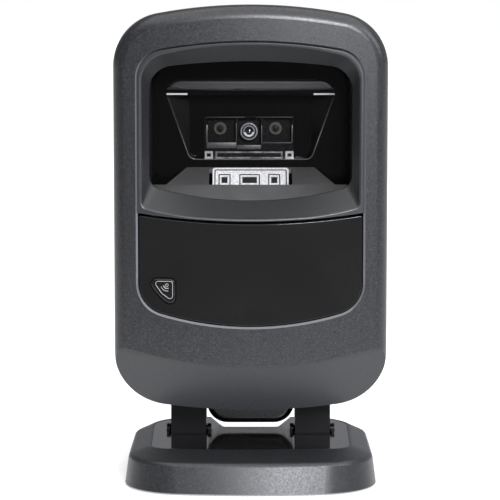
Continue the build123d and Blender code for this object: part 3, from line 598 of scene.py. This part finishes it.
def make_aiming_cores():
    """The dark cores of the two aiming lenses."""
    mesh = bmesh.new()
    for middle in AIMING_X:
        sweep(mesh, ring_path(middle, AIMING_Z, 0.3, lambda x: AIMING_DEPTH), 0.28, 0.14, closed=True)
    placed("aiming_cores", mesh, "chamber_black", HEAD)


def make_tunnel_bead_highlight():
    """A fine bead round the mouth of the tunnel in front of the engine. Its light grey is partly a painted
    highlight along the mouth's edge.
    """
    mesh = bmesh.new()
    mouth = rounded_path(TUNNEL_MOUTH, 2.6, closed=False)
    sweep(mesh, [Vector((point.x, TUNNEL_FRONT, point.y)) for point in mouth], 0.16, 0.12)
    placed("tunnel_bead_highlight", mesh, "edge_highlight_grey", HEAD)


# ---------------------------------------------------------------- painted shade in the illumination frame's grooves
LAMP_TILT = math.radians(27.0)
LAMP_ORIGIN = Vector((0.0, -11.86, 92.49))
LAMP_FACING = Vector((0.0, -math.cos(LAMP_TILT), math.sin(LAMP_TILT)))
LAMP_UP = Vector((0.0, math.sin(LAMP_TILT), math.cos(LAMP_TILT)))
LAMP_WIDTH, LAMP_HEIGHT = 23.3, 7.2
GROOVE_PLACE = 0.725  # from an edge of the frame, or of a window, to the middle of its groove
LINE_OUT = 1.0  # from the board to the middle of the painted groove shade
LAMP_WINDOWS = ((-8.0, 1.9), (-0.3, 4.5), (7.25, 1.9))  # each one's middle and width
LAMP_WINDOW_UP, LAMP_WINDOW_HEIGHT = -0.45, 2.1


def lamp_point(x, up, out):
    """A point on the tilted illumination unit, out millimetres in front of its board."""
    return LAMP_ORIGIN + Vector((x, 0.0, 0.0)) + LAMP_UP * up + LAMP_FACING * out


def make_lamp_groove_shade():
    """Black lines in the illumination frame's grooves, as painted shade: one round its edge and one round
    each window.
    """
    outlines = [(0.0, 0.0, LAMP_WIDTH / 2 - GROOVE_PLACE, LAMP_HEIGHT / 2 - GROOVE_PLACE, 0.4)]
    for x, width in LAMP_WINDOWS:
        half_width, half_height = width / 2 + GROOVE_PLACE, LAMP_WINDOW_HEIGHT / 2 + GROOVE_PLACE
        outlines.append((x, LAMP_WINDOW_UP, half_width, half_height, 0.1))
    mesh = bmesh.new()
    for x, up, half_width, half_height, radius in outlines:
        sides = ((-1, -1), (1, -1), (1, 1), (-1, 1))
        corners = [(half_width * across, half_height * along) for across, along in sides]
        groove = rounded_path(corners, radius)
        path = [lamp_point(x + point.x, up + point.y, LINE_OUT) for point in groove]
        sweep(mesh, path, 0.17, 0.06, LAMP_FACING, closed=True)
    placed("lamp_groove_shade", mesh, "chamber_black", HEAD)


def make_details():
    make_button_icon()
    make_engine_edge_highlights_and_ledges()
    make_lens_glint()
    make_aiming_cores()
    make_tunnel_bead_highlight()
    make_lamp_groove_shade()


# ---------------------------------------------------------------- room
STUDIO_TINT = (0.97, 0.98, 1.04)
FILL_LEVEL = 0.10
FILL_RIGHT = 0.30
FILL_BEHIND = 0.26
FLOOR_GLOW = 0.45
FLOOR_REACH = 7.0
FLOOR_FRONT = -0.26  # the paper ends here, so that the upright faces mirror the dim studio in front


def make_world():
    """A dim studio, brighter on the right and behind; the camera itself sees plain white behind the floor."""
    world = bpy.data.worlds.new("studio")
    scene.world = world
    world.use_nodes = True
    studio = Nodes(world.node_tree)
    direction = studio.node("ShaderNodeTexCoord").outputs["Generated"]
    right = studio.ranged(studio.part(direction, "X"), -0.3, 1.0, 0.0, FILL_RIGHT)
    behind = studio.ranged(studio.part(direction, "Y"), 0.0, 0.9, 0.0, FILL_BEHIND)
    level = studio.calc("ADD", behind, studio.calc("ADD", right, FILL_LEVEL))
    dim = studio.tree.nodes["Background"]
    studio.feed(STUDIO_TINT, dim.inputs["Color"])
    studio.link(level, dim.inputs["Strength"])
    white = studio.node("ShaderNodeBackground")
    studio.feed((1.0, 1.0, 1.0), white.inputs["Color"])
    camera_ray = studio.node("ShaderNodeLightPath").outputs["Is Camera Ray"]
    both = studio.blended(camera_ray, dim.outputs["Background"], white.outputs["Background"])
    studio.link(both, studio.tree.nodes["World Output"].inputs["Surface"])


def make_floor():
    ground = bmesh.new()
    bmesh.ops.create_grid(ground, x_segments=8, y_segments=8, size=FLOOR_REACH)
    bmesh.ops.translate(ground, verts=ground.verts, vec=(0.0, FLOOR_REACH + FLOOR_FRONT, 0.0))
    data = bpy.data.meshes.new("floor")
    ground.to_mesh(data)
    ground.free()
    floor = bpy.data.objects.new("floor", data)
    scene.collection.objects.link(floor)
    finish = Finish("floor_paper", specular=0.1)
    paper = finish.shades(finish.noise(60.0, 3.0), (0.81, 0.81, 0.81), (0.83, 0.83, 0.83))
    finish.colour(paper)
    finish.rough(finish.spread(finish.noise(30.0, 3.0), 0.8, 0.9))
    finish.link(paper, finish.shader.inputs["Emission Color"])
    finish.shader.inputs["Emission Strength"].default_value = FLOOR_GLOW
    floor.data.materials.append(finish.material)


def add_light(name, data, direction, place=(0.0, 0.0, 0.0)):
    light = bpy.data.objects.new(name, data)
    scene.collection.objects.link(light)
    light.location = place
    light.rotation_euler = Vector(direction).to_track_quat("-Z", "Y").to_euler()


def area_light(name, place, target, width, height, power):
    data = bpy.data.lights.new(name, "AREA")
    data.shape = "RECTANGLE"
    data.size = width
    data.size_y = height
    data.energy = power
    data.color = STUDIO_TINT
    add_light(name, data, Vector(target) - Vector(place), place)


def sun_light(name, direction, strength, softness):
    data = bpy.data.lights.new(name, "SUN")
    data.energy = strength
    data.angle = math.radians(softness)
    add_light(name, data, direction)


def make_lights():
    """The key stands behind the camera, a little right and above; the sky is broad and nearly overhead."""
    area_light("key", (0.22, -1.12, 0.44), (0.0, 0.0, 0.07), 0.34, 0.26, 12.5)
    area_light("side", (0.85, -0.55, 0.55), (0.0, 0.0, 0.08), 0.4, 0.4, 3.0)
    sun_light("sky", (-0.12, 0.40, -1.0), 3.3, 90.0)


def make_room():
    make_world()
    make_floor()
    make_lights()
    scene.view_settings.view_transform = "Standard"


make_camera()
make_finishes()
paint_nodes()
make_details()
make_room()
